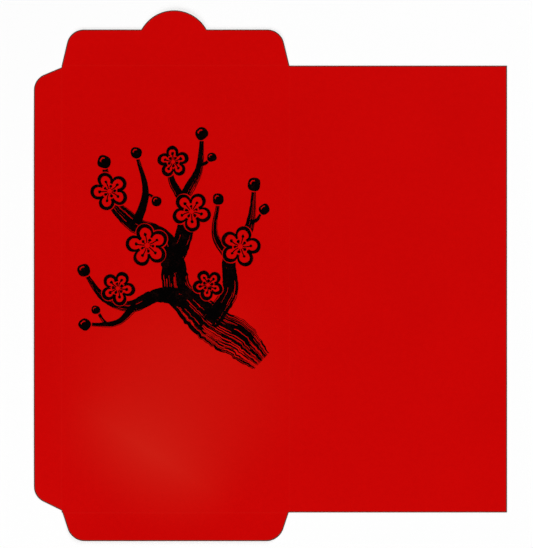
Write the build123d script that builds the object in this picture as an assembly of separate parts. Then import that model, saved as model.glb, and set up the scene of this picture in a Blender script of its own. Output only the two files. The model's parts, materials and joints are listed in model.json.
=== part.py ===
from build123d import *
import math
import os

# A paper money packet as its flat die-cut blank, lying on its bare side with the printed face up (+Z).
# The origin is the middle of the front panel's underside, and the packet's mouth is towards +Y.
# Each flap and the back panel swing down about a crease and lie in their own layer under the front
# panel once the packet is folded. All lengths are in millimetres.

# Sheet of paper
paper_thickness = 0.2
layer_gap = 0.1  # air between two layers of the folded packet
fold_clearance = 0.08  # from a crease's round back to the edge of the flap that swings about it

# Front panel, measured between its creases
front_width = 93.8
front_height = 184.0

# Back panel, narrower than the front by its setback, so that the side flap laps over its free edge
back_setback = 4.2
back_width = front_width - back_setback

# Side flap, along the left of the front panel
side_reach = 11.4
side_top_inset = 0.7
side_top_slant = 4.8
side_bottom_inset = 0.8
side_bottom_slant = 5.6
side_corner_radius = 6.8

# Closing flap, along the top, with a round tab in its edge
closing_reach = 14.8
closing_slant = 3.6
closing_corner_radius = 7.0
tab_radius = 15.4
tab_rise = 7.85
tab_shift = -0.6

# Bottom flap
bottom_reach = 11.7
bottom_inset = 0.3
bottom_slant = 3.9
bottom_corner_radius = 7.4

# Films of glue, flush with the bare side of the flaps
glue_thickness = 0.05
side_glue_margin = 1.1
side_glue_end = 12.0
bottom_glue_width = 5.5
bottom_glue_end = 6.0
closing_gum_width = 5.0
closing_gum_end = 7.0
flap_glue_edge = 1.6  # from the glue of the closing and bottom flaps to the flap's straight edge

# Printed plum bough on the front panel
ink_thickness = 0.05
ink_gap = 0.4  # bare paper left where a branch passes behind a blossom or a bud
print_left_margin = 8.0
print_right_margin = 10.0
print_top_margin = 28.0
print_bottom_margin = 63.0
brush_width = 16.0
blossom_radius = 8.8
petal_line = 1.3
stamen_line = 0.5
stamen_dot_radius = 0.55
bud_radius = 2.8

# The order in which the folded layers lie under the front panel
back_layer = 1
side_layer = 2
end_layer = 3


def fold_depth(layer):
    """Depth of a crease's axis below the sheet: half the way down to its flap's folded layer."""
    return (layer * layer_gap + (layer - 1) * paper_thickness) / 2


def crease_reach(layer):
    """How far a crease's round back, centred on the fold axis, reaches past the fold line."""
    depth = fold_depth(layer)
    return math.sqrt((depth + paper_thickness) ** 2 - depth**2)


def flap_start(layer):
    """Distance from the fold line to the flap's own edge."""
    return crease_reach(layer) + fold_clearance


fold_right = front_width / 2
fold_left = -front_width / 2
fold_top = front_height / 2
fold_bottom = -front_height / 2

panel_right = fold_right - crease_reach(back_layer)
panel_left = fold_left + crease_reach(side_layer)
panel_top = fold_top - crease_reach(end_layer)
panel_bottom = fold_bottom + crease_reach(end_layer)


def sheet(outline):
    """A piece of the paper: a flat outline with the sheet's thickness."""
    return extrude(outline, paper_thickness)


def rectangle(left, bottom, right, top):
    """A flat rectangle between two corners."""
    return Pos(left, bottom) * Rectangle(right - left, top - bottom, align=Align.MIN)


def trapezium(points, outer_axis, corner_radius):
    """A four-cornered flap with its two outermost corners along outer_axis rounded."""
    flap = make_face(Polyline(*points, close=True))
    return fillet(flap.vertices().sort_by(outer_axis)[-2:], corner_radius)


def front_panel():
    """The printed front, up to the strips of paper that bend at its four creases."""
    return sheet(rectangle(panel_left, panel_bottom, panel_right, panel_top))


def back_panel():
    """The plain back, joined to the front along the spine crease."""
    near = fold_right + flap_start(back_layer)
    return sheet(rectangle(near, fold_bottom, fold_right + back_width, fold_top))


def slanted_edge(near, far, reach, start):
    """Place along a slanted edge, which runs from near to far over the flap's reach, at start."""
    return near + (far - near) * start / reach


side_fold_top = fold_top - side_top_inset
side_fold_bottom = fold_bottom + side_bottom_inset
side_outer_top = side_fold_top - side_top_slant
side_outer_bottom = side_fold_bottom + side_bottom_slant
side_outer = fold_left - side_reach


def side_flap_outline():
    """Long flap with both ends cut back and its outer corners rounded."""
    start = flap_start(side_layer)
    top = slanted_edge(side_fold_top, side_outer_top, side_reach, start)
    bottom = slanted_edge(side_fold_bottom, side_outer_bottom, side_reach, start)
    points = [
        (fold_left - start, top),
        (side_outer, side_outer_top),
        (side_outer, side_outer_bottom),
        (fold_left - start, bottom),
    ]
    return trapezium(points, -Axis.X, side_corner_radius)


def end_flap_outline(direction, reach, inset, slant, corner_radius, outer_axis):
    """Flap across an end of the front panel, towards +Y or -Y as direction is 1 or -1."""
    start = flap_start(end_layer)
    half = front_width / 2 - inset
    near_half = slanted_edge(half, half - slant, reach, start)
    near = direction * (front_height / 2 + start)
    far = direction * (front_height / 2 + reach)
    points = [(-near_half, near), (near_half, near), (half - slant, far), (slant - half, far)]
    return trapezium(points, outer_axis, corner_radius)


def closing_flap_outline():
    """The flap over the packet's mouth: a rounded trapezium and a segment of a circle as its tab."""
    flap = end_flap_outline(1, closing_reach, 0, closing_slant, closing_corner_radius, Axis.Y)
    edge = fold_top + closing_reach
    half_chord = math.sqrt(tab_radius**2 - (tab_radius - tab_rise) ** 2)
    left = (tab_shift - half_chord, edge)
    right = (tab_shift + half_chord, edge)
    tab = make_face([ThreePointArc(left, (tab_shift, edge + tab_rise), right), Line(right, left)])
    return flap + tab


def bottom_flap_outline():
    """The flap that shuts the packet's foot."""
    return end_flap_outline(
        -1, bottom_reach, bottom_inset, bottom_slant, bottom_corner_radius, -Axis.Y
    )


def glue_film(middle, length, width, turn=0):
    """A strip of dried glue with round ends, from the sheet's underside up into it."""
    return extrude(Pos(*middle) * SlotOverall(length, width, rotation=turn), glue_thickness)


def side_glue():
    """Holds the side flap to the back panel, within the width where the two lap."""
    lap = side_reach - back_setback
    middle = (side_outer + lap / 2, (side_outer_top + side_outer_bottom) / 2)
    length = side_outer_top - side_outer_bottom - 2 * side_glue_end
    return glue_film(middle, length, lap - 2 * side_glue_margin, 90)


def bottom_glue():
    """Holds the bottom flap to the back panel, along the flap's straight edge."""
    edge = fold_bottom - bottom_reach
    length = front_width - 2 * (bottom_inset + bottom_slant + bottom_glue_end)
    return glue_film((0, edge + flap_glue_edge + bottom_glue_width / 2), length, bottom_glue_width)


def closing_gum():
    """Dry gum that the giver wets to shut the packet, along the closing flap's straight edge."""
    edge = fold_top + closing_reach
    length = front_width - 2 * (closing_slant + closing_gum_end)
    return glue_film((0, edge - flap_glue_edge - closing_gum_width / 2), length, closing_gum_width)


def crease(fold_point, outward, length, layer):
    """The strip of paper that bends at a fold. Its flat half meets the front panel, and its back is
    round about the fold axis, which lies under the fold line, so the flap swings clear of it."""
    depth = fold_depth(layer)
    reach = crease_reach(layer)
    back_radius = depth + paper_thickness
    middle_angle = (math.pi / 2 + math.atan2(depth, reach)) / 2
    back_middle = (back_radius * math.cos(middle_angle), back_radius * math.sin(middle_angle) - depth)
    back_top = (0, paper_thickness)
    back_foot = (reach, 0)
    flat = Polyline(back_foot, (-reach, 0), (-reach, paper_thickness), back_top)
    section = make_face([flat, ThreePointArc(back_top, back_middle, back_foot)])
    across = Plane(origin=fold_point, x_dir=outward, z_dir=outward.cross(Vector(0, 0, 1)))
    return extrude(across * section, length / 2, both=True)


def spine_crease():
    """Between the front panel and the back panel."""
    middle = (panel_top + panel_bottom) / 2
    return crease((fold_right, middle), Vector(1, 0, 0), panel_top - panel_bottom, back_layer)


def side_crease():
    """Between the front panel and the side flap."""
    middle = (panel_top + panel_bottom) / 2
    return crease((fold_left, middle), Vector(-1, 0, 0), panel_top - panel_bottom, side_layer)


def top_crease():
    """Between the front panel and the closing flap."""
    middle = (panel_left + panel_right) / 2
    return crease((middle, fold_top), Vector(0, 1, 0), panel_right - panel_left, end_layer)


def bottom_crease():
    """Between the front panel and the bottom flap."""
    middle = (panel_left + panel_right) / 2
    return crease((middle, fold_bottom), Vector(0, -1, 0), panel_right - panel_left, end_layer)


# The bough's brush strokes: places along each stroke as shares of the print's width and height, and
# its width there as a share of the brush's width.
stroke_shares = {
    "trunk": [
        (0.985, -0.01, 0.62),
        (0.86, 0.085, 1.0),
        (0.66, 0.185, 0.92),
        (0.53, 0.31, 0.74),
        (0.50, 0.45, 0.60),
    ],
    "left_branch": [
        (0.515, 0.385, 0.62),
        (0.43, 0.535, 0.56),
        (0.28, 0.605, 0.42),
        (0.17, 0.70, 0.30),
        (0.125, 0.868, 0.12),
    ],
    "upper_branch": [
        (0.495, 0.42, 0.52),
        (0.565, 0.575, 0.42),
        (0.563, 0.71, 0.32),
        (0.64, 0.84, 0.22),
        (0.656, 0.99, 0.09),
    ],
    "right_branch": [
        (0.70, 0.165, 0.52),
        (0.80, 0.30, 0.46),
        (0.81, 0.46, 0.34),
        (0.91, 0.58, 0.24),
        (0.94, 0.765, 0.10),
    ],
    "low_branch": [
        (0.575, 0.265, 0.50),
        (0.42, 0.285, 0.40),
        (0.27, 0.235, 0.30),
        (0.14, 0.265, 0.22),
        (0.018, 0.385, 0.10),
    ],
    "left_twig": [(0.30, 0.60, 0.26), (0.35, 0.73, 0.18), (0.302, 0.905, 0.08)],
    "upper_twig": [(0.557, 0.70, 0.24), (0.49, 0.80, 0.17), (0.485, 0.93, 0.08)],
    "right_twig": [(0.815, 0.44, 0.24), (0.73, 0.545, 0.17), (0.745, 0.70, 0.08)],
    "low_twig": [(0.30, 0.243, 0.22), (0.20, 0.165, 0.16), (0.03, 0.155, 0.08)],
    "left_bud_stalk": [(0.345, 0.725, 0.12), (0.37, 0.728, 0.09), (0.40, 0.715, 0.07)],
    "upper_bud_stalk": [(0.65, 0.865, 0.12), (0.675, 0.868, 0.09), (0.695, 0.885, 0.07)],
    "right_bud_stalk": [(0.92, 0.605, 0.12), (0.95, 0.615, 0.09), (0.98, 0.645, 0.07)],
    "low_bud_stalk": [(0.14, 0.157, 0.11), (0.12, 0.175, 0.09), (0.095, 0.205, 0.07)],
}

# Blossoms: place in the print, size as a share of the blossom's radius, turn as a share of a petal.
blossom_shares = [
    (0.36, 0.505, 1.0, 0.15),
    (0.60, 0.655, 0.92, 0.55),
    (0.155, 0.745, 0.90, 0.30),
    (0.865, 0.50, 0.95, 0.80),
    (0.50, 0.875, 0.74, 0.05),
    (0.20, 0.315, 0.80, 0.65),
    (0.69, 0.33, 0.72, 0.40),
]
petal_count = 5
petal_place_share = 0.6
petal_radius_share = 0.4
open_heart_share = 0.44
long_stamen_shares = (0.12, 0.52)
short_stamen_shares = (0.12, 0.27)

# Buds: place in the print and size as a share of the bud's radius.
bud_shares = [
    (0.125, 0.875, 1.0),
    (0.655, 1.0, 0.95),
    (0.30, 0.915, 0.85),
    (0.94, 0.775, 1.0),
    (0.745, 0.71, 0.85),
    (0.015, 0.395, 0.95),
    (0.02, 0.155, 0.90),
    (0.41, 0.70, 0.75),
    (0.995, 0.665, 0.80),
    (0.08, 0.22, 0.65),
    (0.71, 0.895, 0.70),
]

print_width = front_width - print_left_margin - print_right_margin
print_height = front_height - print_bottom_margin - print_top_margin


def print_place(across_share, up_share):
    """A place on the front panel from its shares of the print's width and height."""
    across = fold_left + print_left_margin + across_share * print_width
    up = fold_bottom + print_bottom_margin + up_share * print_height
    return Vector(across, up)


def brush_stroke(shares):
    """A stroke's outline: two smooth curves half its width either side of its middle line."""
    middle = [print_place(across, up) for across, up, width_share in shares]
    half_widths = [width_share * brush_width / 2 for across, up, width_share in shares]
    left = []
    right = []
    for place, before, after, half_width in zip(
        middle, middle[:1] + middle, middle[1:] + middle[-1:], half_widths
    ):
        sideways = (after - before).normalized().rotate(Axis.Z, 90) * half_width
        left.append(place + sideways)
        right.append(place - sideways)
    tip = Line(left[-1], right[-1])
    heel = Line(right[0], left[0])
    return make_face([Spline(*left), tip, Spline(*reversed(right)), heel])


def petal_directions(turn_share):
    """The directions in which a blossom's petals lie, evenly round it."""
    pitch = 360 / petal_count
    return [Vector(0, 1).rotate(Axis.Z, (turn_share + n) * pitch) for n in range(petal_count)]


def petals(centre, size, turn_share, margin):
    """The round petals of a blossom, each grown by a margin or, if that is negative, shrunk."""
    petal = Circle(petal_radius_share * size + margin)
    spread = petal_place_share * size
    return Sketch() + [Pos(centre + way * spread) * petal for way in petal_directions(turn_share)]


def blossom_outline(across, up, size_share, turn_share):
    """Five round petals drawn as a line, open towards the heart of the blossom."""
    centre = print_place(across, up)
    size = size_share * blossom_radius
    line = petals(centre, size, turn_share, 0) - petals(centre, size, turn_share, -petal_line)
    return line - Pos(centre) * Circle(open_heart_share * size)


def blossom_clearing(across, up, size_share, turn_share):
    """The blossom's whole silhouette with a bare margin, which is cut out of the branches."""
    centre = print_place(across, up)
    size = size_share * blossom_radius
    return petals(centre, size, turn_share, ink_gap) + Pos(centre) * Circle(petal_place_share * size)


def stamen(centre, direction, start, end):
    """A thin line out from the blossom's heart with a dot at its end."""
    line_face = Pos(centre + direction * ((start + end) / 2)) * Rectangle(
        end - start, stamen_line, rotation=math.degrees(math.atan2(direction.Y, direction.X))
    )
    return line_face + Pos(centre + direction * end) * Circle(stamen_dot_radius)


def blossom_stamens(across, up, size_share, turn_share):
    """A long stamen into each petal and a short one between each two."""
    centre = print_place(across, up)
    size = size_share * blossom_radius
    made = []
    for way in petal_directions(turn_share):
        between = way.rotate(Axis.Z, 180 / petal_count)
        made.append(stamen(centre, way, *[share * size for share in long_stamen_shares]))
        made.append(stamen(centre, between, *[share * size for share in short_stamen_shares]))
    return made


def ink(faces):
    """A film of ink on the printed face for each flat shape."""
    return [Pos(0, 0, paper_thickness) * extrude(face, ink_thickness) for face in faces]


def bud_print():
    """A round dot for each bud, cut back where a blossom covers it."""
    buds = Sketch() + [Pos(print_place(x, y)) * Circle(size * bud_radius) for x, y, size in bud_shares]
    buds -= [blossom_clearing(*shares) for shares in blossom_shares]
    return ink(buds.faces())


def blossom_print():
    """The petals' lines."""
    return ink([blossom_outline(*shares) for shares in blossom_shares])


def stamen_print():
    """All the blossoms' stamens."""
    return ink([face for shares in blossom_shares for face in blossom_stamens(*shares)])


def bough_print():
    """The brushed branches, which stop short of each blossom and bud."""
    bough = Sketch() + [brush_stroke(shares) for shares in stroke_shares.values()]
    bough -= [blossom_clearing(*shares) for shares in blossom_shares]
    bough -= [Pos(print_place(x, y)) * Circle(size * bud_radius + ink_gap) for x, y, size in bud_shares]
    return ink(bough.faces())


pieces = {
    "front_panel": front_panel(),
    "back_panel": back_panel(),
    "side_flap": sheet(side_flap_outline()) - side_glue(),
    "closing_flap": sheet(closing_flap_outline()) - closing_gum(),
    "bottom_flap": sheet(bottom_flap_outline()) - bottom_glue(),
    "spine_crease": spine_crease(),
    "side_crease": side_crease(),
    "top_crease": top_crease(),
    "bottom_crease": bottom_crease(),
    "side_glue": side_glue(),
    "bottom_glue": bottom_glue(),
    "closing_gum": closing_gum(),
    "bough_print": Compound(children=bough_print()),
    "blossom_print": Compound(children=blossom_print()),
    "stamen_print": Compound(children=stamen_print()),
    "bud_print": Compound(children=bud_print()),
}

os.makedirs("parts", exist_ok=True)
for name, piece in pieces.items():
    piece.label = name
    export_step(piece, f"parts/{name}.step")
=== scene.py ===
import json
import math

import bpy
import numpy as np
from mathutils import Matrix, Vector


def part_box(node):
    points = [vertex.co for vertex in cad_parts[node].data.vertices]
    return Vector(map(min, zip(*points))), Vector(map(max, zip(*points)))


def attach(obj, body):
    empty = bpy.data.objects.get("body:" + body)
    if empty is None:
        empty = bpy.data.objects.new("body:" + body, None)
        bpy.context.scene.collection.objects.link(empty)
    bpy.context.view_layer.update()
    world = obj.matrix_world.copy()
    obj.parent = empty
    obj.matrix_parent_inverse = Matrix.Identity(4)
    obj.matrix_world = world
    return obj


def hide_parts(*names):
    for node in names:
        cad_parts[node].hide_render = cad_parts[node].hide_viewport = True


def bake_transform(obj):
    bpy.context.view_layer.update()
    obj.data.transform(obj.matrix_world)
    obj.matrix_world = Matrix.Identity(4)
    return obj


# A paper money packet as its flat die-cut blank, printed face up (+Z) and its mouth towards +Y.
# All lengths are in metres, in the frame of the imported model.
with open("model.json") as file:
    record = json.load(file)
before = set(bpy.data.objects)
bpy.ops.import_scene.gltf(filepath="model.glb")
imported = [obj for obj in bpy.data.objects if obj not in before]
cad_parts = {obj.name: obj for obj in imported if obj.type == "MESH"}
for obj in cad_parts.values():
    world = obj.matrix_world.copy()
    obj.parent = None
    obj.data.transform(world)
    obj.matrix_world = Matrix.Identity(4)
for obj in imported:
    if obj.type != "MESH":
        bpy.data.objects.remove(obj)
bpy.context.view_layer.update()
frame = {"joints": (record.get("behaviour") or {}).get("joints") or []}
mm = 0.001

# Folds: the lines on the four sides of the front that the back and the flaps turn about.
folds = {joint["name"]: joint["pos_m"] for joint in frame["joints"]}
fold_right = folds["back_fold"][0]
fold_left = folds["side_fold"][0]
fold_top = folds["closing_fold"][1]
fold_bottom = folds["bottom_fold"][1]


# Paper: the blank is one smooth sheet. Its face is printed red all over, with a soft lighter patch low
# on the front, partly a printed gradient and partly a painted sheen, and a brown hairline along the cut.
# Its back is bare, paler and rougher, and its cut edge shows the core, stained by the red. A scale is in
# features to the metre.
paper_thickness = 0.2 * mm
red_deep = (0.532, 0.0002, 0.0001, 1)
red_bright = (0.590, 0.0005, 0.0002, 1)
tone_scales = (24, 420)
tone_shares = (0.25, 0.25, 0.5)
tone_range = (0.3, 0.7)
print_roughness = 0.50
print_tooth = 0.40
print_gloss = {"Specular IOR Level": 0.03}

# Lighter patch low on the front, partly a printed gradient and partly a painted sheen: a round glow and a
# ridged streak, mixed into the base colour.
print_and_sheen_red = (0.592, 0.0118, 0.0056, 1)
print_and_sheen_middle = (0.5 * mm, -42.4 * mm)
print_and_sheen_spread = (62 * mm, 62 * mm)
print_and_sheen_share = 0.37
print_and_sheen_streak_middle = (-10.4 * mm, -66.9 * mm)
print_and_sheen_streak_spread = (44.7 * mm, 33 * mm)
print_and_sheen_streak_turn = math.radians(-33.4)
print_and_sheen_streak_share = 0.67
score_red = (0.60, 0.010, 0.006, 1)
score_share = 0.12
keyline_brown = (0.060, 0.028, 0.020, 1)
keyline_width = 0.42 * mm
keyline_fade_shares = (0.75, 1.15)

bare_white = (0.80, 0.775, 0.72, 1)
bare_cream = (0.74, 0.705, 0.64, 1)
bare_scale = 60
bare_roughness = 0.82
bare_tooth = 0.30
bare_gloss = {"Specular IOR Level": 0.30}
cut_pink = (0.70, 0.36, 0.32, 1)
cut_red = (0.56, 0.06, 0.05, 1)
core_scale = 900

fibre_size = (1.4 * mm, 0.28 * mm)
fibre_turns = (0.5, 1.9)  # radians
fibre_detail = 3
relief_depth = 0.03 * mm
roughness_swing = 0.1


class Socket:
    """A shader socket in a Python expression: each operator adds the Math node that works it out."""

    def __init__(self, tree, socket=None):
        self.tree = tree
        self.socket = socket

    def node(self, kind, settings, inputs, output=0):
        """Adds a node, sets its settings and then its inputs to values or links, and gives an output."""
        made = self.tree.nodes.new(kind)
        for name, value in settings.items():
            setattr(made, name, value)
        for name, value in inputs.items():
            if isinstance(value, Socket):
                self.tree.links.new(value.socket, made.inputs[name])
            else:
                made.inputs[name].default_value = value
        return Socket(self.tree, made.outputs[output] if made.outputs else None)

    def math(self, operation, first, second):
        return self.node("ShaderNodeMath", {"operation": operation}, {0: first, 1: second})

    def __add__(self, other):
        return self.math("ADD", self, other)

    def __radd__(self, other):
        return self.math("ADD", other, self)

    def __sub__(self, other):
        return self.math("SUBTRACT", self, other)

    def __rsub__(self, other):
        return self.math("SUBTRACT", other, self)

    def __mul__(self, other):
        return self.math("MULTIPLY", self, other)

    def __rmul__(self, other):
        return self.math("MULTIPLY", other, self)


def new_finish(name):
    """An empty material, and the Socket that its nodes are added from."""
    material = bpy.data.materials.new(name)
    material.use_nodes = True
    material.node_tree.nodes.clear()
    return material, Socket(material.node_tree)


def mixed(share, first, second):
    """A colour that goes from the first to the second as share goes from 0 to 1."""
    settings = {"data_type": "RGBA", "clamp_factor": True}
    return share.node("ShaderNodeMix", settings, {0: share, 6: first, 7: second}, 2)


def eased(value, low, high):
    """0 below low and 1 above high, with a smooth step between them."""
    settings = {"interpolation_type": "SMOOTHSTEP"}
    return value.node("ShaderNodeMapRange", settings, {0: value, 1: low, 2: high})


def noise(place, scale, detail=2.0, roughness=0.55):
    """Noise from 0 to 1 with that many features to the metre."""
    inputs = {"Vector": place, "Scale": scale, "Detail": detail, "Roughness": roughness}
    return place.node("ShaderNodeTexNoise", {}, inputs, "Fac")


def placed(place, turn, size, middle=(0, 0)):
    """A place as seen from a middle and a turn, in sizes along and across that turn."""
    inputs = {"Vector": place, "Location": (*middle, 0), "Rotation": (0, 0, turn), "Scale": (*size, 1)}
    return place.node("ShaderNodeMapping", {"vector_type": "TEXTURE"}, inputs, "Vector")


def distance_from_middle(place):
    return place.node("ShaderNodeVectorMath", {"operation": "LENGTH"}, {0: place}, "Value")


def carried(start, name, output):
    """A value that a piece's mesh carries at each point."""
    return start.node("ShaderNodeAttribute", {"attribute_name": name}, {}, output)


def varied(roughness, tone):
    """A roughness that rises and falls a little with a tone from 0 to 1."""
    return roughness + roughness_swing * (tone - 0.5)


def finished(start, color, roughness, height, bump, gloss):
    """Ends a material in a shader of that colour and roughness, whose relief is a height from 0 to 1 as
    strong as bump says, with more of its inputs in gloss."""
    inputs = {"Strength": bump, "Distance": relief_depth, "Height": height}
    normal = start.node("ShaderNodeBump", {}, inputs, "Normal")
    inputs = {"Base Color": color, "Roughness": roughness, "Normal": normal, **gloss}
    shader = start.node("ShaderNodeBsdfPrincipled", {}, inputs, "BSDF")
    start.node("ShaderNodeOutputMaterial", {}, {"Surface": shader})


def fibre_relief(place):
    """Height of the felted fibres: the mean of two fine noises, each drawn out along its own way."""
    first, second = [noise(placed(place, turn, fibre_size), 1, fibre_detail) for turn in fibre_turns]
    return 0.5 * (first + second)


def print_and_sheen_strength(place):
    """How far the lighter patch lightens the red, partly a printed gradient and partly a painted sheen: a
    round glow, and a streak with a sharp ridge along it.
    """
    glow = 1 - eased(distance_from_middle(placed(place, 0, print_and_sheen_spread, print_and_sheen_middle)), 0, 1)
    print_and_sheen_streak_place = placed(place, print_and_sheen_streak_turn, print_and_sheen_streak_spread, print_and_sheen_streak_middle)
    ways = [place.node("ShaderNodeSeparateXYZ", {}, {"Vector": print_and_sheen_streak_place}, way) for way in "XY"]
    along, across = [way.math("ABSOLUTE", way, 0) for way in ways]
    ridge = 1 - across.math("MINIMUM", across, 1)
    return print_and_sheen_share * glow + print_and_sheen_streak_share * ((1 - eased(along, 0, 1)) * ridge * ridge)


def red_print_finish():
    """The printed side. Its red is a little uneven where the ink took on the fibres."""
    material, start = new_finish("red_print")
    place = carried(start, "sheet", "Vector")
    fibres = fibre_relief(place)
    coarse, fine = [noise(place, scale) for scale in tone_scales]
    tone = tone_shares[0] * coarse + tone_shares[1] * fine + tone_shares[2] * fibres
    color = mixed(eased(tone, *tone_range), red_deep, red_bright)
    # Painted sheen: the lighter patch, partly a printed gradient and partly a highlight, is mixed into the
    # red.
    color = mixed(print_and_sheen_strength(place), color, print_and_sheen_red)
    color = mixed(score_share * carried(start, "score", "Fac"), color, score_red)
    fade_start, fade_end = [share * keyline_width for share in keyline_fade_shares]
    keyline = 1 - eased(carried(start, "edge", "Fac"), fade_start, fade_end)
    color = mixed(keyline, color, keyline_brown)
    finished(start, color, varied(print_roughness, tone), fibres, print_tooth, print_gloss)
    return material


def bare_paper_finish():
    """The bare side, with its fibres showing."""
    material, start = new_finish("bare_paper")
    place = carried(start, "sheet", "Vector")
    fibres = fibre_relief(place)
    color = mixed(0.5 * (noise(place, bare_scale) + fibres), bare_cream, bare_white)
    finished(start, color, varied(bare_roughness, fibres), fibres, bare_tooth, bare_gloss)
    return material


def cut_paper_finish():
    """The cut edge."""
    material, start = new_finish("cut_paper")
    core = noise(carried(start, "sheet", "Vector"), core_scale)
    color = mixed(core, cut_red, cut_pink)
    finished(start, color, varied(bare_roughness, core), core, bare_tooth, bare_gloss)
    return material


paper_finishes = [red_print_finish(), bare_paper_finish(), cut_paper_finish()]
paper_pieces = []
sharp_angle = math.radians(40)


def even_steps(low, high, step):
    """Places from low to high in even steps of about the size given."""
    return np.linspace(low, high, max(2, round((high - low) / step) + 1))


def grid_faces(rows, columns):
    """The corners of the face between each four neighbours in a grid of points."""
    index = np.arange(rows * columns).reshape(rows, columns)
    corners = [index[:-1, :-1], index[:-1, 1:], index[1:, 1:], index[1:, :-1]]
    return np.stack(corners, axis=-1)


def new_piece(name, points, faces, finishes):
    """An object at the origin from points and four-cornered faces, without points that no face uses.
    The faces are turned so that their normals point up."""
    used, corners = np.unique(faces, return_inverse=True)
    points = points.reshape(-1, 3)[used]
    corners = corners.reshape(-1, 4)
    first, second, third = [points[corners[:, n]] for n in range(3)]
    if np.cross(second - first, third - first)[:, 2].sum() < 0:
        corners = corners[:, ::-1]
    mesh = bpy.data.meshes.new(name)
    mesh.from_pydata(points.tolist(), [], corners.tolist())
    for finish in finishes:
        mesh.materials.append(finish)
    piece = bpy.data.objects.new(name, mesh)
    bpy.context.scene.collection.objects.link(piece)
    return piece


def thickened(piece, thickness):
    """Gives a piece its thickness, below the face that its points make."""
    modifier = piece.modifiers.new("thickness", "SOLIDIFY")
    modifier.thickness = thickness
    modifier.offset = -1
    return modifier


def add_values(piece, name, kind, values):
    """Keeps a value for each point of a piece's mesh, for its materials to read."""
    attribute = piece.data.attributes.new(name, kind, "POINT")
    field = "vector" if kind == "FLOAT_VECTOR" else "value"
    attribute.data.foreach_set(field, np.asarray(values, np.float32).ravel())


def flat_places(piece):
    """The places of a piece's points on the flat sheet."""
    places = np.empty(len(piece.data.vertices) * 3, np.float32)
    piece.data.vertices.foreach_get("co", places)
    return places.reshape(-1, 3) * (1, 1, 0)


def paper_piece(name, across, up, rise, node, wanted=None):
    """A part of the sheet: its printed face has each point at its flat place, raised by the paper's
    thickness and its rise, and the thickness is added below. Faces that aren't wanted are left out."""
    points = np.stack(np.broadcast_arrays(across, up, paper_thickness + rise), axis=-1)
    faces = grid_faces(*points.shape[:2])
    if wanted is not None:
        faces = faces[wanted]
    piece = new_piece(name, points, faces, paper_finishes)
    piece.data.shade_smooth()
    add_values(piece, "sheet", "FLOAT_VECTOR", flat_places(piece))
    thickness = thickened(piece, paper_thickness)
    thickness.material_offset = 1
    thickness.material_offset_rim = 2
    sharp_edge = piece.modifiers.new("sharp_edge", "EDGE_SPLIT")
    sharp_edge.split_angle = sharp_angle
    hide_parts(node)
    paper_pieces.append(piece)
    return piece


# Front panel: the front of the packet, between its four creases. It has a low crown.
panel_step = 1.6 * mm
front_crown = 0.55 * mm
front_ripple = 0.07 * mm
front_ripple_length = 66 * mm
front_ripple_slant = 0.4
front_low, front_high = np.array(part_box("front_panel"))


def arch(place, low, high):
    """Half a wave from low to high: 0 at both and 1 midway."""
    return np.sin(np.pi * (place - low) / (high - low))


def front_rise(across, up):
    """Height of the front's crown: an arch each way with a slow ripple along it, 0 at the creases."""
    crown = arch(across, front_low[0], front_high[0]) * arch(up, front_low[1], front_high[1])
    ripple = np.sin(2 * np.pi * (up + front_ripple_slant * across) / front_ripple_length)
    return crown * (front_crown + front_ripple * ripple)


across = even_steps(front_low[0], front_high[0], panel_step)[None, :]
up = even_steps(front_low[1], front_high[1], panel_step)[:, None]
front_paper = paper_piece("front_paper", across, up, front_rise(across, up), "front_panel")
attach(front_paper, "front")


# Back panel: the plain back, to the right of the spine crease. It is cut square at its top, foot and
# free edge, and folds under the front.
back_crown = 0.65 * mm
cut_step_shares = np.array([0.6, 1.2])
back_low, back_high = np.array(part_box("back_panel"))


def cut_steps(low, high):
    """Even steps across the back, with two more by each end for the hairline along its cut."""
    steps = even_steps(low, high, panel_step)
    near = keyline_width * cut_step_shares
    return np.concatenate([steps[:1], low + near, steps[1:-1], high - near[::-1], steps[-1:]])


across = cut_steps(back_low[0], back_high[0])[None, :]
up = cut_steps(back_low[1], back_high[1])[:, None]
rise = back_crown * arch(across, back_low[0], back_high[0]) * arch(up, back_low[1], back_high[1])
back_paper = paper_piece("back_paper", across, up, rise, "back_panel")
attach(back_paper, "back")
back_cut = [
    (fold_right, back_low[1]),
    (back_high[0], back_low[1]),
    (back_high[0], back_high[1]),
    (fold_right, back_high[1]),
]


# Side flap: the long flap on the left of the front, with its ends cut back and its outer corners
# rounded. It laps over the back's free edge, and its own edge lifts a little where it lies.
side_low, side_high = np.array(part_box("side_flap"))
side_start = fold_left - side_high[0]
side_reach = fold_left - side_low[0]
side_top_inset = 0.7 * mm
side_top_slant = 4.8 * mm
side_bottom_inset = 0.8 * mm
side_bottom_slant = 5.6 * mm
side_fold_top = fold_top - side_top_inset
side_fold_bottom = fold_bottom + side_bottom_inset
side_corner_radius = 6.8 * mm
side_lift = 0.6 * mm
side_columns = 116
flap_step = 0.6 * mm
corner_rows = 15
curl_lean = 0.4


def flap_rows(start, reach, corner_radius):
    """Distances from the fold for a flap's rows: even steps, then even turns round its corners."""
    corner_start = reach - corner_radius
    turns = np.linspace(0, np.pi / 2, corner_rows)[1:]
    straight = even_steps(start, corner_start, flap_step)
    return np.concatenate([straight, corner_start + corner_radius * np.sin(turns)])


def flap_edge(distance, near, slant, reach, corner_radius):
    """Where a flap's end lies at a distance from the fold: a straight line from near that comes in by
    slant over the reach, up to a round corner that touches that line and the flap's outer edge."""
    slope = slant / reach
    stretch = math.hypot(1, slope)
    corner_start = reach - corner_radius
    middle = near - slope * corner_start - corner_radius * stretch
    round_start = corner_start + corner_radius * slope / stretch
    bend = np.sqrt(np.maximum(corner_radius**2 - (distance - corner_start) ** 2, 0))
    return np.where(distance < round_start, near - slope * distance, middle + bend)


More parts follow.
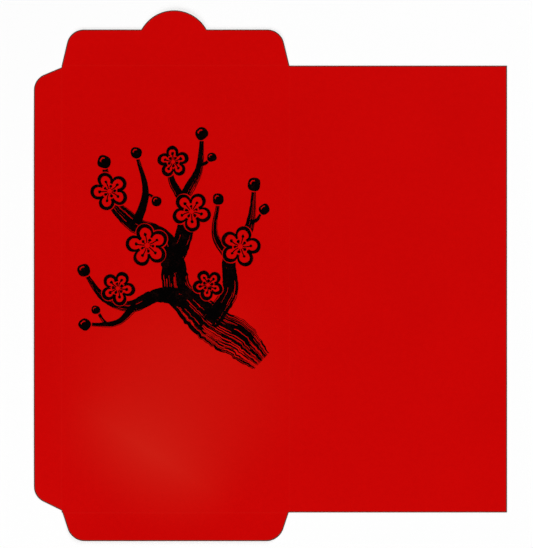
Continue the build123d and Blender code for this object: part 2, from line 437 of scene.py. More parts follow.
def curl(distance, start, reach):
    """How far a flap lifts at a distance from its fold, from 0 to 1: partly as the way to its edge,
    because the crease leaves it leaning, and partly as that way's square."""
    share = (distance - start) / (reach - start)
    return curl_lean * share + (1 - curl_lean) * share**2


def side_ends(distance):
    """The side flap's lower and upper end at a distance from the fold."""
    lower = flap_edge(distance, -side_fold_bottom, side_bottom_slant, side_reach, side_corner_radius)
    upper = flap_edge(distance, side_fold_top, side_top_slant, side_reach, side_corner_radius)
    return -lower, upper


def side_rise(distance, share):
    """Height of the side flap at a distance from the fold and a share of the way along it: its curl,
    which dies away towards its ends."""
    return side_lift * curl(distance, side_start, side_reach) * (1 - (2 * share - 1) ** 4)


distance = flap_rows(side_start, side_reach, side_corner_radius)
lower, upper = side_ends(distance)
up = np.linspace(lower, upper, side_columns, axis=1)
rise = side_rise(distance[:, None], np.linspace(0, 1, side_columns))
side_paper = paper_piece("side_flap_paper", fold_left - distance[:, None], up, rise, "side_flap")
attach(side_paper, "side")
side_cut = np.concatenate(
    [
        [(fold_left, side_fold_top)],
        np.stack([fold_left - distance, upper], axis=1),
        np.stack([fold_left - distance, lower], axis=1)[::-1],
        [(fold_left, side_fold_bottom)],
    ]
)


# Closing flap: the flap along the top, which folds over the packet's mouth. Its corners are rounded and
# its edge has a round tab to lift it by, which curls up a little.
closing_low, closing_high = np.array(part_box("closing_flap"))
closing_start = closing_low[1] - fold_top
closing_tip = closing_high[1] - fold_top
closing_reach = 14.8 * mm
closing_slant = 3.6 * mm
closing_corner_radius = 7.0 * mm
closing_lift = 1.1 * mm
tab_radius = 15.4 * mm
tab_shift = -0.6 * mm
tab_last_turn = math.radians(87.5)
tab_rows = 22
columns_beside_tab = 22
columns_in_tab = 20


def closing_end(distance):
    """Half the closing flap's width at a distance from the fold."""
    return flap_edge(distance, fold_right, closing_slant, closing_reach, closing_corner_radius)


def tab_half_chord(distance):
    """Half the tab's width at a distance from the fold: a chord of its circle."""
    return np.sqrt(np.maximum(tab_radius**2 - (distance - closing_tip + tab_radius) ** 2, 0))


def closing_rise(distance):
    """Height of the closing flap at a distance from the fold."""
    return closing_lift * curl(distance, closing_start, closing_tip)


body_distance = flap_rows(closing_start, closing_reach, closing_corner_radius)
root_turn = math.asin((closing_reach - closing_tip + tab_radius) / tab_radius)
tab_turn = np.linspace(root_turn, tab_last_turn, tab_rows)[1:]
tab_distance = closing_tip - tab_radius + tab_radius * np.sin(tab_turn)
distance = np.concatenate([body_distance, tab_distance])
on_body = distance <= closing_reach
tab_half = np.where(on_body, tab_half_chord(closing_reach), tab_half_chord(distance))
end_half = np.where(on_body, closing_end(distance), tab_half)
tab_left = tab_shift - tab_half
tab_right = tab_shift + tab_half
left_end = np.where(on_body, -end_half, tab_left)
right_end = np.where(on_body, end_half, tab_right)
across = np.concatenate(
    [
        np.linspace(left_end, tab_left, columns_beside_tab, endpoint=False, axis=1),
        np.linspace(tab_left, tab_right, columns_in_tab + 1, axis=1),
        np.linspace(tab_right, right_end, columns_beside_tab + 1, axis=1)[:, 1:],
    ],
    axis=1,
)
up = fold_top + distance
column = np.arange(across.shape[1] - 1) - columns_beside_tab
wanted = on_body[1:, None] | ((column >= 0) & (column < columns_in_tab))
rise = closing_rise(distance)[:, None]
closing_paper = paper_piece("closing_flap_paper", across, up[:, None], rise, "closing_flap", wanted)
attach(closing_paper, "closing")
on_tab = distance >= closing_reach
closing_cut = np.concatenate(
    [
        [(fold_right, fold_top)],
        np.stack([right_end, up], axis=1)[on_body],
        np.stack([tab_right, up], axis=1)[on_tab],
        np.stack([tab_left, up], axis=1)[on_tab][::-1],
        np.stack([left_end, up], axis=1)[on_body][::-1],
        [(fold_left, fold_top)],
    ]
)


# Bottom flap: the flap along the foot, with slanted ends and rounded corners. It is glued over the foot
# of the back and shuts the packet.
bottom_low, bottom_high = np.array(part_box("bottom_flap"))
bottom_start = fold_bottom - bottom_high[1]
bottom_reach = fold_bottom - bottom_low[1]
bottom_inset = 0.3 * mm
bottom_half_width = fold_right - bottom_inset
bottom_slant = 3.9 * mm
bottom_corner_radius = 7.4 * mm
bottom_lift = 0.8 * mm
bottom_columns = 62


def bottom_end(distance):
    """Half the bottom flap's width at a distance from the fold."""
    return flap_edge(distance, bottom_half_width, bottom_slant, bottom_reach, bottom_corner_radius)


def bottom_rise(distance):
    """Height of the bottom flap at a distance from the fold."""
    return bottom_lift * curl(distance, bottom_start, bottom_reach)


distance = flap_rows(bottom_start, bottom_reach, bottom_corner_radius)
half_width = bottom_end(distance)
across = np.linspace(-half_width, half_width, bottom_columns, axis=1)
up = fold_bottom - distance
rise = bottom_rise(distance)[:, None]
bottom_paper = paper_piece("bottom_flap_paper", across, up[:, None], rise, "bottom_flap")
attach(bottom_paper, "bottom")
bottom_cut = np.concatenate(
    [
        [(-bottom_half_width, fold_bottom)],
        np.stack([-half_width, up], axis=1),
        np.stack([half_width, up], axis=1)[::-1],
        [(bottom_half_width, fold_bottom)],
    ]
)


# Creases: the strips of paper that bend between the front and each flap. The sheet is scored there
# from behind, which leaves a very low bead on the printed face.
score_bead = 0.02 * mm
crease_rows = 17
crease_columns = 121


def crease_strip(name, body, outward, panel_end, fold, flap_start, ends):
    """The strip between the front's edge and a flap's, in rows along the fold. A row at a distance past
    the fold runs between the ends there, and its height is the bead's: 1 less the square of the way
    from the strip's middle, squared."""
    distance = np.linspace(panel_end - fold, flap_start - fold, crease_rows)
    lower, upper = ends(distance)
    run = np.linspace(lower, upper, crease_columns, axis=1)
    reach = (fold + distance)[:, None]
    across = run if outward[1] else outward[0] * reach
    up = outward[1] * reach if outward[1] else run
    bead = (1 - np.linspace(-1, 1, crease_rows) ** 2) ** 2
    strip = paper_piece(f"{name}_bend", across, up, score_bead * bead[:, None], f"{name}_crease")
    add_values(strip, "score", "FLOAT", np.repeat(bead, crease_columns))
    ways = np.array([*outward, 0])
    tuple(panel_end * ways)
    tuple(flap_start * ways)
    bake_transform(strip)


def spine_ends(distance):
    """The spine crease stops at the front's corners, and past the fold at the back's."""
    past = distance > 0
    return np.where(past, back_low[1], front_low[1]), np.where(past, back_high[1], front_high[1])


def side_crease_ends(distance):
    """The side crease stops at the front's corners, and past the fold at the side flap's ends."""
    lower, upper = side_ends(np.maximum(distance, 0))
    past = distance >= 0
    return np.where(past, lower, front_low[1]), np.where(past, upper, front_high[1])


def top_ends(distance):
    """The top crease takes in the front's corners, and past the fold the closing flap's slanted ends."""
    half = closing_end(np.maximum(distance, 0))
    return -half, half


def bottom_ends(distance):
    """The bottom crease takes in the front's corners, and past the fold the bottom flap's slanted ends."""
    half = np.where(distance < 0, fold_right, bottom_end(np.maximum(distance, 0)))
    return -half, half


creases = {
    "spine": ("back", (1, 0), front_high[0], fold_right, back_low[0], spine_ends),
    "side": ("side", (-1, 0), -front_low[0], -fold_left, -side_high[0], side_crease_ends),
    "top": ("closing", (0, 1), front_high[1], fold_top, closing_low[1], top_ends),
    "bottom": ("bottom", (0, -1), -front_low[1], -fold_bottom, -bottom_high[1], bottom_ends),
}
for name, crease in creases.items():
    crease_strip(name, *crease)


# Cut edge: the die's cut all round the blank. A hairline is printed along it, so each part of the sheet
# carries its points' distance from the cut.
cut_line = np.concatenate([closing_cut, side_cut, bottom_cut, back_cut])
least_square = 1e-12  # keeps a cut's piece of no length from a division by 0


def distance_to_cut(places):
    """Distance from each place to the nearest point of the cut, a closed run of straight pieces."""
    along = np.roll(cut_line, -1, axis=0) - cut_line
    from_start = places[:, None, :2] - cut_line
    share = (from_start * along).sum(axis=2) / np.maximum((along**2).sum(axis=1), least_square)
    gap = from_start - np.clip(share, 0, 1)[:, :, None] * along
    return np.sqrt((gap**2).sum(axis=2).min(axis=1))


for piece in paper_pieces:
    add_values(piece, "edge", "FLOAT", distance_to_cut(flat_places(piece)))


# Bough: the branches of a plum tree, printed in black ink on the front as strokes of a wide brush. The
# ink runs dry towards a stroke's end, where the bristles leave bare streaks, and it stops at each flower.
print_left_margin = 8.0 * mm
print_right_margin = 10.0 * mm
print_top_margin = 28.0 * mm
print_bottom_margin = 63.0 * mm
print_low = np.array([fold_left + print_left_margin, fold_bottom + print_bottom_margin])
print_high = np.array([fold_right - print_right_margin, fold_top - print_top_margin])
print_size = print_high - print_low

brush_width = 16.0 * mm
brush_step = 0.4 * mm
brush_edge_shares = (0.09, 0.05)
brush_edge_steps = (14, 3)
bristle = 0.2 * mm
bristle_width_range = (0.4, 1.6)
bristle_room_share = 0.45
bristle_steps = 5
wet_share = 0.5
wet_track_share = 0.30
wet_along_share = 0.42
wet_along_steps = 22
dry_rim_share = 0.10
dry_rim_power = 6
ragged_share = 0.10
ragged_steps = 3.0
least_knots = 3
least_tracks = 3
hand_seed = 20

ink_height = 0.016 * mm
ink_film_share = 0.8
stroke_height = 0.0025 * mm
ink_gap = 0.4 * mm
ink_black = (0.0004, 0.0001, 0.0001, 1)
ink_thin = (0.0070, 0.0006, 0.0004, 1)
ink_blotch_scale = 260
ink_blotch_detail = 4.0
ink_speck_scale = 1500
ink_thin_range = (0.50, 0.66)
ink_roughness = 0.44
ink_thin_roughness = 0.16
ink_tooth = 0.05
ink_gloss = {"Specular IOR Level": 0.02}

# Each stroke: places along it as shares of the print's width and height, and its width there as a share
# of the brush's width. Then the dryness at its start, middle and end.
stroke_shares = {
    "trunk": (
        [
            (0.985, -0.01, 0.62), (0.86, 0.085, 1.0), (0.66, 0.185, 0.92),
            (0.53, 0.31, 0.74), (0.50, 0.45, 0.60),
        ],
        (0.28, 0.06, 0.02),
    ),
    "left_branch": (
        [
            (0.515, 0.385, 0.62), (0.43, 0.535, 0.56), (0.28, 0.605, 0.42),
            (0.17, 0.70, 0.30), (0.125, 0.868, 0.12),
        ],
        (0.0, 0.06, 0.16),
    ),
    "upper_branch": (
        [
            (0.495, 0.42, 0.52), (0.565, 0.575, 0.42), (0.563, 0.71, 0.32),
            (0.64, 0.84, 0.22), (0.656, 0.99, 0.09),
        ],
        (0.0, 0.06, 0.16),
    ),
    "right_branch": (
        [
            (0.70, 0.165, 0.52), (0.80, 0.30, 0.46), (0.81, 0.46, 0.34),
            (0.91, 0.58, 0.24), (0.94, 0.765, 0.10),
        ],
        (0.0, 0.10, 0.16),
    ),
    "low_branch": (
        [
            (0.575, 0.265, 0.50), (0.42, 0.285, 0.40), (0.27, 0.235, 0.30),
            (0.14, 0.265, 0.22), (0.018, 0.385, 0.10),
        ],
        (0.0, 0.08, 0.18),
    ),
    "left_twig": ([(0.30, 0.60, 0.26), (0.35, 0.73, 0.18), (0.302, 0.905, 0.08)], (0.0, 0.05, 0.14)),
    "upper_twig": ([(0.557, 0.70, 0.24), (0.49, 0.80, 0.17), (0.485, 0.93, 0.08)], (0.0, 0.05, 0.14)),
    "right_twig": ([(0.815, 0.44, 0.24), (0.73, 0.545, 0.17), (0.745, 0.70, 0.08)], (0.0, 0.05, 0.14)),
    "low_twig": ([(0.30, 0.243, 0.22), (0.20, 0.165, 0.16), (0.03, 0.155, 0.08)], (0.0, 0.05, 0.14)),
    "left_bud_stalk": ([(0.345, 0.725, 0.12), (0.37, 0.728, 0.09), (0.40, 0.715, 0.07)], (0.0, 0.0, 0.0)),
    "upper_bud_stalk": ([(0.65, 0.865, 0.12), (0.675, 0.868, 0.09), (0.695, 0.885, 0.07)], (0.0, 0.0, 0.0)),
    "right_bud_stalk": ([(0.92, 0.605, 0.12), (0.95, 0.615, 0.09), (0.98, 0.645, 0.07)], (0.0, 0.0, 0.0)),
    "low_bud_stalk": ([(0.14, 0.157, 0.11), (0.12, 0.175, 0.09), (0.095, 0.205, 0.07)], (0.0, 0.0, 0.0)),
}

# Each blossom: its place in the print, its size as a share of the blossom's radius, and its turn as a
# share of a petal.
blossom_radius = 8.8 * mm
blossom_shares = [
    (0.36, 0.505, 1.0, 0.15),
    (0.60, 0.655, 0.92, 0.55),
    (0.155, 0.745, 0.90, 0.30),
    (0.865, 0.50, 0.95, 0.80),
    (0.50, 0.875, 0.74, 0.05),
    (0.20, 0.315, 0.80, 0.65),
    (0.69, 0.33, 0.72, 0.40),
]
petal_count = 5
petal_place_share = 0.6
petal_radius_share = 0.4

# Each bud: its place in the print and its size as a share of the bud's radius.
bud_radius = 2.8 * mm
bud_shares = [
    (0.125, 0.875, 1.0),
    (0.655, 1.0, 0.95),
    (0.30, 0.915, 0.85),
    (0.94, 0.775, 1.0),
    (0.745, 0.71, 0.85),
    (0.015, 0.395, 0.95),
    (0.02, 0.155, 0.90),
    (0.41, 0.70, 0.75),
    (0.995, 0.665, 0.80),
    (0.08, 0.22, 0.65),
    (0.71, 0.895, 0.70),
]


def black_ink_finish():
    """Dense black ink that lies thin in blotches and specks, where the red shows through a little."""
    material, start = new_finish("black_ink")
    place = start.node("ShaderNodeTexCoord", {}, {}, "Object")
    uneven = 0.5 * (noise(place, ink_blotch_scale, ink_blotch_detail) + noise(place, ink_speck_scale))
    thinness = eased(uneven, *ink_thin_range)
    color = mixed(thinness, ink_black, ink_thin)
    roughness = ink_roughness + ink_thin_roughness * thinness
    finished(start, color, roughness, thinness, ink_tooth, ink_gloss)
    return material


def print_place(across_share, up_share):
    """A place on the front from its shares of the print's width and height."""
    return print_low + np.array([across_share, up_share]) * print_size


def smooth_line(knots, step):
    """A smooth curve through knots, whose first two numbers are places: cubic pieces that take, at each
    knot, the slope between its neighbours, read at even steps of about the size given."""
    run = np.concatenate([[0], np.cumsum(np.hypot(*np.diff(knots[:, :2], axis=0).T))])
    slope = np.gradient(knots, run, axis=0)
    at = even_steps(0, run[-1], step)
    last = np.clip(np.searchsorted(run, at, side="right") - 1, 0, len(run) - 2)
    length = (run[last + 1] - run[last])[:, None]
    way = (at - run[last])[:, None] / length
    back = 1 - way
    ends = knots[last] * (1 + 2 * way) * back**2 + knots[last + 1] * way**2 * (3 - 2 * way)
    slopes = slope[last] * way * back**2 - slope[last + 1] * way**2 * back
    return ends + length * slopes


def wander(chance, runs, steps, knots):
    """Random runs of steps between -1 and 1, each eased from knot to knot of a few random ones."""
    values = chance.uniform(-1, 1, (runs, knots))
    at = np.linspace(0, knots - 1, steps)
    last = np.minimum(at.astype(int), knots - 2)
    way = at - last
    ease = way * way * (3 - 2 * way)
    return values[:, last] * (1 - ease) + values[:, last + 1] * ease


def drawn_line(line, left_half, right_half, shares):
    """A grid across a drawn line: each row goes straight from its left edge to its right one, with a
    point at each share of the way."""
    along = np.gradient(line, axis=0)
    sideways = np.stack([-along[:, 1], along[:, 0]], axis=1) / np.hypot(*along.T)[:, None]
    offset = left_half[:, None] - (left_half + right_half)[:, None] * shares
    return line[:, None, :] + sideways[:, None, :] * offset[:, :, None]


def bristle_shares(chance, tracks, steps):
    """Where the lines between a brush's tracks lie, as shares of its width: tracks of uneven width, with
    each line between two of them wandering along the stroke within the room beside it."""
    widths = chance.uniform(*bristle_width_range, tracks)
    lines = np.concatenate([[0], np.cumsum(widths)]) / widths.sum()
    room = bristle_room_share * np.minimum(widths[:-1], widths[1:]) / widths.sum()
    shares = np.tile(lines, (steps, 1))
    shares[:, 1:-1] += room * wander(chance, tracks - 1, steps, max(least_knots, steps // bristle_steps)).T
    return shares


def brush_stroke(shares, dryness, chance):
    """A brush stroke's grid and faces. Its edges wander, its ends are ragged, and a bristle's track is
    left bare where its random wetness is below the stroke's dryness there."""
    across_share, up_share, width_share = np.array(shares).T
    places = print_low + np.stack([across_share, up_share], axis=1) * print_size
    curve = smooth_line(np.column_stack([places, width_share * brush_width / 2]), brush_step)
    steps = len(curve)
    tracks = max(least_tracks, round(2 * curve[:, 2].max() / bristle))
    coarse, fine = [wander(chance, 2, steps, max(least_knots, steps // n)) for n in brush_edge_steps]
    left_half, right_half = curve[:, 2] * (1 + brush_edge_shares[0] * coarse + brush_edge_shares[1] * fine)
    grid = drawn_line(curve[:, :2], left_half, right_half, bristle_shares(chance, tracks, steps))
    along = np.linspace(0, 1, steps - 1)[None, :]
    from_middle = np.abs(np.linspace(-1, 1, tracks))[:, None]
    wetness = wet_share + wet_track_share * chance.uniform(-1, 1, (tracks, 1))
    knots = max(least_knots, steps // wet_along_steps)
    wetness = wetness + wet_along_share * wander(chance, tracks, steps - 1, knots)
    dry = np.interp(along, (0, 0.5, 1), dryness) + dry_rim_share * from_middle**dry_rim_power
    dry_ends = np.array([dryness[0], dryness[-1]]) > 0
    ragged_reach = np.where(dry_ends, min(ragged_share, ragged_steps / steps), 0)
    ragged = chance.uniform(0, 1, (tracks, 2)) ** 2 * ragged_reach
    inked = (wetness > dry) & (along >= ragged[:, :1]) & (along <= 1 - ragged[:, 1:])
    return grid.reshape(-1, 2), grid_faces(steps, tracks + 1)[inked.T]


def joined(parts):
    """Several drawings as one: their points in a row, and each one's faces counted on from the last."""
    counts = np.cumsum([0] + [len(points) for points, faces in parts[:-1]])
    faces = [faces.reshape(-1, 4) + count for (points, faces), count in zip(parts, counts)]
    return np.concatenate([points for points, faces in parts]), np.concatenate(faces)


def petal_places(across, up, size_share, turn_share):
    """A blossom's middle, its size, and the ways in which its petals lie, evenly round it."""
    turns = (turn_share + np.arange(petal_count)) * 2 * np.pi / petal_count
    ways = np.stack([-np.sin(turns), np.cos(turns)], axis=1)
    return print_place(across, up), size_share * blossom_radius, ways


def clearings():
    """The rounds that the branches leave bare, as middles and radii: petals, hearts of blossoms, buds."""
    rounds = [(print_place(across, up), size * bud_radius + ink_gap) for across, up, size in bud_shares]
    for shares in blossom_shares:
        middle, size, ways = petal_places(*shares)
        rounds.append((middle, petal_place_share * size))
        petal = petal_radius_share * size + ink_gap
        rounds.extend((middle + way * petal_place_share * size, petal) for way in ways)
    return rounds


def kept_clear(points, faces, rounds):
    """Takes a drawing out of rounds: faces inside one go, and points at its rim move out onto it."""
    for middle, radius in rounds:
        inside = np.hypot(*(points - middle).T) < radius
        faces = faces[~inside[faces].all(axis=1)]
        from_middle = points[inside] - middle
        points[inside] = middle + from_middle * (radius / np.hypot(*from_middle.T))[:, None]
    return points, faces


black_ink = black_ink_finish()


def ink_piece(name, points, faces, heights, node):
    """A film of ink on the front: its points lie on the front's face, raised by the heights given."""
    above = paper_thickness + front_rise(*points.T) + heights
    piece = new_piece(name, np.column_stack([points, above]), faces, [black_ink])
    thickened(piece, ink_film_share * ink_height)
    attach(piece, "front")
    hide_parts(node)


chance = np.random.default_rng(hand_seed)
strokes = [brush_stroke(shares, dryness, chance) for shares, dryness in stroke_shares.values()]
order = np.concatenate([np.full(len(points), n) for n, (points, faces) in enumerate(strokes)])
points, faces = kept_clear(*joined(strokes), clearings())
ink_piece("bough_ink", points, faces, ink_height + stroke_height * order, "bough_print")


# Blossoms: five round petals each, printed in the same ink as lines that swell and thin as a brush's
# do. Each petal passes behind the next, and its line is open towards the heart.
blossom_height = 3 * ink_height
petal_line = 1.3 * mm
petal_opening = math.radians(141)
petal_rows = 61
petal_columns = 5
petal_knots = 7
petal_lean = 0.5
petal_swell_power = 0.7
petal_thin_share = 0.28
petal_swell_share = 0.92
petal_uneven_share = 0.12
petal_wobble_share = 0.035


def petal_stroke(middle, next_middle, radius, way, chance):
    """A petal's line round its middle from one side of the heart to the other: thin at both ends and
    thickest off to one side, left out where the next petal covers it."""
    turn = np.linspace(-petal_opening, petal_opening, petal_rows)
    uneven, wobble = wander(chance, 2, petal_rows, petal_knots)
    lean = chance.uniform(-petal_lean, petal_lean)
    from_thickest = np.clip((turn - lean) / (petal_opening + abs(lean)), -1, 1)
    swell = np.cos(from_thickest * np.pi / 2) ** petal_swell_power
    width_share = petal_thin_share + petal_swell_share * swell + petal_uneven_share * uneven
    half = petal_line / 2 * width_share
    reach = radius * (1 + petal_wobble_share * wobble) - petal_line / 2
    heading = math.atan2(way[1], way[0]) + turn
    line = middle + reach[:, None] * np.stack([np.cos(heading), np.sin(heading)], axis=1)
    grid = drawn_line(line, half, half, np.linspace(0, 1, petal_columns))
    covered = np.hypot(*np.moveaxis(grid - next_middle, 2, 0)) < radius - petal_line
    faces = grid_faces(*grid.shape[:2]).reshape(-1, 4)
    return grid.reshape(-1, 2), faces[~covered.ravel()[faces].any(axis=1)]


lines = []
for shares in blossom_shares:
    middle, size, ways = petal_places(*shares)
    middles = middle + ways * petal_place_share * size
    for n in range(petal_count):
        next_middle = middles[(n + 1) % petal_count]
        lines.append(petal_stroke(middles[n], next_middle, petal_radius_share * size, ways[n], chance))
points, faces = joined(lines)
ink_piece("blossom_ink", points, faces, blossom_height, "blossom_print")


# Stamens: a fine line from the heart into each petal and a short one between each two, with a dot of
# ink at its end, printed with the petals.
stamen_height = 3.2 * ink_height
stamen_line = 0.5 * mm
stamen_rows = 9
stamen_columns = 3
stamen_bow_share = 0.10
stamen_width_shares = (0.7, 0.35)
long_stamen_shares = (0.12, 0.52)
short_stamen_shares = (0.12, 0.27)
dot_radius = 0.55 * mm
dot_size_range = (0.95, 1.25)
dot_uneven = 0.10
dot_cells = 6
wave_count = 3
wave_size_range = (0.3, 1)


def disc(cells):
    """A grid over a round of radius 1: a square's places, each drawn in by half the other's square."""
    side = np.linspace(-1, 1, cells + 1)
    x, y = np.meshgrid(side, side)
    return np.stack([x * np.sqrt(1 - y**2 / 2), y * np.sqrt(1 - x**2 / 2)], axis=-1)


def blot(middle, radius, cells, uneven, chance):
    """A blot of ink: a disc whose rim swells and shrinks in a few random waves, two or more round it."""
    grid = disc(cells)
    turn = np.arctan2(grid[..., 1], grid[..., 0])
    sizes = chance.uniform(*wave_size_range, wave_count)
    phases = chance.uniform(0, 2 * np.pi, wave_count)
    waves = sum(sizes[n] * np.cos((n + 2) * turn + phases[n]) for n in range(wave_count))
    grid = middle + radius * grid * (1 + uneven * waves)[..., None]
    return grid.reshape(-1, 2), grid_faces(cells + 1, cells + 1)


def stamen(middle, way, start, end, chance):
    """A stamen's line, bowed a little to one side and widening outwards, and the dot at its end."""
    share = np.linspace(0, 1, stamen_rows)
    sideways = np.array([-way[1], way[0]])
    bow = chance.uniform(-stamen_bow_share, stamen_bow_share) * (end - start) * 4 * share * (1 - share)
    line = middle + (start + (end - start) * share)[:, None] * way + bow[:, None] * sideways
    half = stamen_line / 2 * (stamen_width_shares[0] + stamen_width_shares[1] * share)
    grid = drawn_line(line, half, half, np.linspace(0, 1, stamen_columns))
    dot = blot(line[-1], dot_radius * chance.uniform(*dot_size_range), dot_cells, dot_uneven, chance)
    return [(grid.reshape(-1, 2), grid_faces(*grid.shape[:2])), dot]


parts = []
for shares in blossom_shares:
    middle, size, ways = petal_places(*shares)
    between = petal_places(*shares[:3], shares[3] + 0.5)[2]
    for n in range(petal_count):
        parts += stamen(middle, ways[n], *[share * size for share in long_stamen_shares], chance)
        parts += stamen(middle, between[n], *[share * size for share in short_stamen_shares], chance)
points, faces = joined(parts)
ink_piece("stamen_ink", points, faces, stamen_height, "stamen_print")


# Buds: round blots of the same ink at the twigs' ends, each with a bare glint where the brush left the
# paper.
bud_height = 3 * ink_height
bud_cells = 22
bud_uneven = 0.045
glint_ring = (0.46, 0.66)
glint_half_turn = math.radians(48)
glint_heading = math.radians(128)


def bud(across, up, size_share, chance):
    """A bud: an uneven blot with a crescent of its ring left bare towards the upper left."""
    points, faces = blot(print_place(across, up), size_share * bud_radius, bud_cells, bud_uneven, chance)
    faces = faces.reshape(-1, 4)
    spot = disc(bud_cells).reshape(-1, 2)[faces].mean(axis=1)
    turn = np.arctan2(spot[:, 1], spot[:, 0]) - glint_heading
    reach = np.hypot(*spot.T)
    bare = np.abs(np.angle(np.exp(1j * turn))) < glint_half_turn
    bare &= (reach > glint_ring[0]) & (reach < glint_ring[1])
    return points, faces[~bare]


points, faces = joined([bud(*shares, chance) for shares in bud_shares])
ink_piece("bud_ink", points, faces, bud_height, "bud_print")


# Glue: thin films on the bare side of the side and bottom flaps, which hold the packet shut at its seam
# and foot, and dry gum on the closing flap, which the giver wets. Each film is rolled on with round ends.
film_thickness = 0.015 * mm
film_sink_share = 0.3  # how far the film reaches into the paper, of its thickness
film_rows = 17
film_columns = 81
film_last_turn = math.radians(89)
film_streak_size = (18 * mm, 0.9 * mm)
film_streak_detail = 3
film_relief = 0.15
film_roughness_swing = 0.15
coat_roughness = 0.15
glue_pale = (0.78, 0.73, 0.58, 1)
glue_amber = (0.70, 0.62, 0.44, 1)
glue_roughness = 0.35
glue_coat = 0.4
gum_pale = (0.77, 0.74, 0.62, 1)
gum_grey = (0.69, 0.67, 0.57, 1)
gum_roughness = 0.22
gum_coat = 0.8


def film_finish(name, first, second, roughness, coat):
    """A dried film: two near colours in soft streaks along it, where the roller ran, and a clear coat."""
    material, start = new_finish(name)
    place = carried(start, "film", "Vector")
    streaks = noise(placed(place, 0, film_streak_size), 1, film_streak_detail)
    color = mixed(streaks, first, second)
    gloss = {"Coat Weight": coat, "Coat Roughness": coat_roughness}
    finished(start, color, roughness + film_roughness_swing * streaks, streaks, film_relief, gloss)
    return material


def glue_film(node, finish, body, rise):
    """A film in its node's place: rows along it, as long as its round ends leave them at each share of
    its width, lying on the flap's bare side, which the flap's rise lifts."""
    low, high = np.array(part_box(node))[:, :2]
    middle, half = (low + high) / 2, (high - low) / 2
    upright = half[1] > half[0]
    end_radius = half.min()
    offset = end_radius * np.sin(np.linspace(-1, 1, film_rows) * film_last_turn)
    row_half = half.max() - end_radius + np.sqrt(end_radius**2 - offset**2)
    run = np.linspace(-row_half, row_half, film_columns, axis=1)
    sideways = np.broadcast_to(offset[:, None], run.shape)
    across, up = (sideways, run) if upright else (run, sideways)
    across, up = across + middle[0], up + middle[1]
    points = np.stack([across, up, rise(across, up) + film_sink_share * film_thickness], axis=-1)
    piece = new_piece(f"{node}_film", points, grid_faces(*points.shape[:2]), [finish])
    add_values(piece, "film", "FLOAT_VECTOR", np.stack([run, sideways, 0 * run], axis=-1))
    thickened(piece, (1 + film_sink_share) * film_thickness)
    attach(piece, body)
    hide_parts(node)


def side_film_rise(across, up):
    """Height of the side flap's bare side at a place."""
    distance = fold_left - across
    lower, upper = side_ends(distance)
    return side_rise(distance, (up - lower) / (upper - lower))


def bottom_film_rise(across, up):
    """Height of the bottom flap's bare side at a place."""
    return bottom_rise(fold_bottom - up)


def closing_film_rise(across, up):
    """Height of the closing flap's bare side at a place."""
    return closing_rise(up - fold_top)


dried_glue = film_finish("dried_glue", glue_amber, glue_pale, glue_roughness, glue_coat)
dry_gum = film_finish("dry_gum", gum_grey, gum_pale, gum_roughness, gum_coat)
glue_film("side_glue", dried_glue, "side", side_film_rise)
glue_film("bottom_glue", dried_glue, "bottom", bottom_film_rise)
glue_film("closing_gum", dry_gum, "closing", closing_film_rise)


# Studio: a white floor that curves up all round, three soft boxes and a camera straight above. Near the
# object the floor takes some light and shadow, and further off it only glows.
floor_height = -0.05 * mm
floor_radius = 4.5
floor_flat_radius = 2.0
floor_curve = 0.13
floor_cells = 80
floor_white = (0.95, 0.95, 0.95, 1)
floor_glow = 1.0
floor_glow_shares = (0.65, 1.0)
floor_glow_radii = (0.25, 1.0)
world_gray = (0.06, 0.06, 0.06, 1)

# Each soft box: its azimuth and elevation in degrees, and its power in watts.
soft_boxes = {
    "key_box": (50, 38, 27),
    "left_box": (222, 36, 19),
    "near_box": (268, 36, 16),
}
box_distance = 1.9
box_size = 1.0
camera_place = (37.45 * mm, 6.2 * mm, 846.4 * mm)
camera_lens = 135  # in millimetres, as is the sensor's width
camera_sensor_width = 36


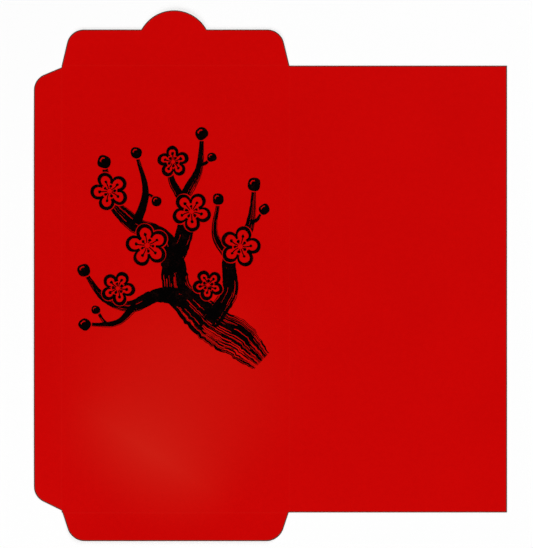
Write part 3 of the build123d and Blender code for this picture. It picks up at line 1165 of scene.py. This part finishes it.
def floor_finish():
    """White paper that rays from the camera, and mirrored or bent ones, see as partly glowing."""
    material, start = new_finish("floor_white")
    seen = 0
    for ray in ("Camera", "Glossy", "Transmission"):
        seen = start.math("MAXIMUM", seen, start.node("ShaderNodeLightPath", {}, {}, f"Is {ray} Ray"))
    away = distance_from_middle(start.node("ShaderNodeTexCoord", {}, {}, "Object"))
    near_share, far_share = floor_glow_shares
    glow_share = near_share + (far_share - near_share) * eased(away, *floor_glow_radii)
    lit = start.node("ShaderNodeBsdfDiffuse", {}, {"Color": floor_white}, "BSDF")
    white = start.node("ShaderNodeEmission", {}, {"Strength": floor_glow}, "Emission")
    shader = start.node("ShaderNodeMixShader", {}, {0: glow_share * seen, 1: lit, 2: white}, "Shader")
    start.node("ShaderNodeOutputMaterial", {}, {"Surface": shader})
    return material


def soft_box(name, azimuth, elevation, power):
    """A square area lamp at an azimuth and elevation, turned towards the object."""
    lamp = bpy.data.lights.new(name, "AREA")
    lamp.size = box_size
    lamp.energy = power
    holder = bpy.data.objects.new(name, lamp)
    turn, tilt = math.radians(azimuth), math.radians(elevation)
    flat_reach = box_distance * math.cos(tilt)
    height = box_distance * math.sin(tilt)
    holder.location = (flat_reach * math.cos(turn), flat_reach * math.sin(turn), height)
    holder.rotation_euler = (0, math.pi / 2 - tilt, turn)
    holder.visible_camera = False
    bpy.context.scene.collection.objects.link(holder)


grid = floor_radius * disc(floor_cells)
past_flat = np.maximum(np.hypot(grid[..., 0], grid[..., 1]) - floor_flat_radius, 0)
points = np.concatenate([grid, (floor_height + floor_curve * past_flat**2)[..., None]], axis=-1)
floor = new_piece("floor", points, grid_faces(*points.shape[:2]), [floor_finish()])
floor.data.shade_smooth()

world = bpy.data.worlds.new("studio")
world.use_nodes = True
world.node_tree.nodes["Background"].inputs["Color"].default_value = world_gray
bpy.context.scene.world = world
for name, box in soft_boxes.items():
    soft_box(name, *box)

camera = bpy.data.objects.new("camera", bpy.data.cameras.new("camera"))
camera.data.lens = camera_lens
camera.data.sensor_width = camera_sensor_width
camera.location = camera_place
bpy.context.scene.collection.objects.link(camera)
bpy.context.scene.camera = camera
bpy.context.scene.view_settings.view_transform = "Standard"
